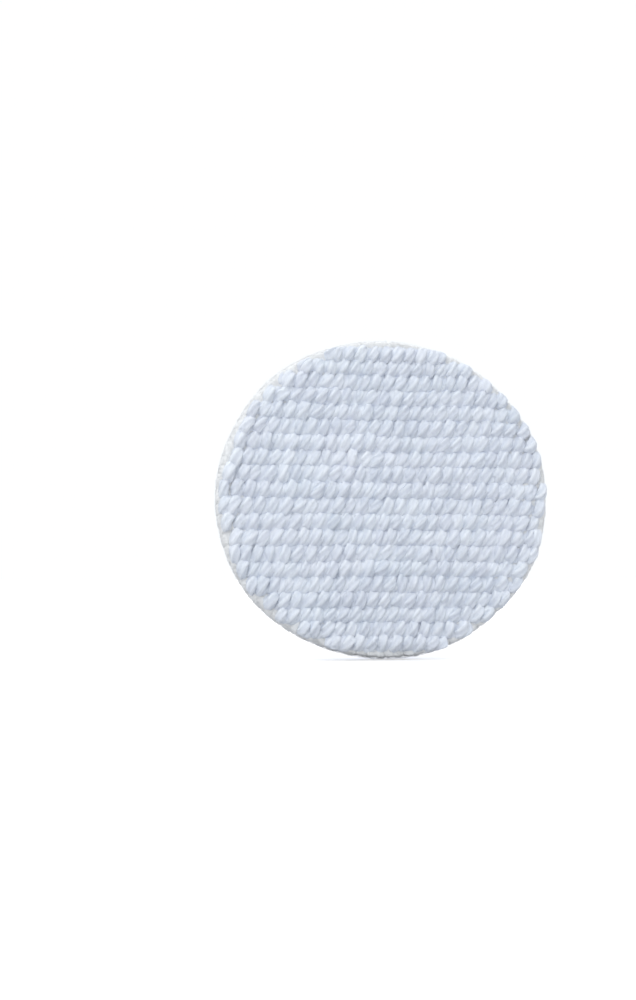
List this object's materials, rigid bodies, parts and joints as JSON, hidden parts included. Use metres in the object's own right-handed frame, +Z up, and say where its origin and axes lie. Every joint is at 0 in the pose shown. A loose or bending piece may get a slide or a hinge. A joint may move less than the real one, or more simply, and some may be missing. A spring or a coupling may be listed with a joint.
{
  "type": "polishing pad",
  "caption": "Round wool polishing pad: rows of twisted yarn tufts on a flared foam disc with a hook-and-loop back.",
  "frame": {"origin": "centre of the loop face, the flat back that sticks to the polisher's hook plate", "axes": "+Y out of the loop face along the pad's axis, so the wool faces -Y; +Z up the printed label; the yarn rows run along X"},
  "size_m": [0.145, 0.0225, 0.145],
  "materials": {
    "loop_fabric": "brushed nylon loop, pale lilac-white, with a printed label",
    "blue_foam": "open-cell polyurethane foam, bright blue",
    "bond_film": "cured hot-melt film, milky",
    "latex": "cured latex, matte",
    "woven_cloth": "plain-woven polyester, matte",
    "brushed_wool": "brushed wool, cream-white, fuzzy",
    "twisted_wool": "twisted wool yarn, off-white, fuzzy"
  },
  "bodies": {
    "backing": {"loop_backing": "loop_fabric", "loop_bond": "bond_film", "foam_interface": "blue_foam"},
    "wool_head": {"wool_bond": "bond_film", "latex_coat": "latex", "backing_cloth": "woven_cloth", "edge_fringe": "brushed_wool", "yarn_row_01": "twisted_wool", "yarn_row_02": "twisted_wool", "yarn_row_03": "twisted_wool", "yarn_row_04": "twisted_wool", "yarn_row_05": "twisted_wool", "yarn_row_06": "twisted_wool", "yarn_row_07": "twisted_wool", "yarn_row_08": "twisted_wool", "yarn_row_09": "twisted_wool", "yarn_row_10": "twisted_wool", "yarn_row_11": "twisted_wool", "yarn_row_12": "twisted_wool", "yarn_row_13": "twisted_wool", "yarn_row_14": "twisted_wool", "yarn_row_15": "twisted_wool", "yarn_row_16": "twisted_wool", "yarn_row_17": "twisted_wool", "yarn_row_18": "twisted_wool", "yarn_row_19": "twisted_wool", "yarn_row_20": "twisted_wool"}
  },
  "joints": [
    {"name": "foam_compress", "type": "slide", "parent": "backing", "child": "wool_head", "axis": [0, 1, 0], "range_m": [0, 0.003], "stiffness_N_per_m": 15000, "deforming": ["foam_interface"]}
  ]
}
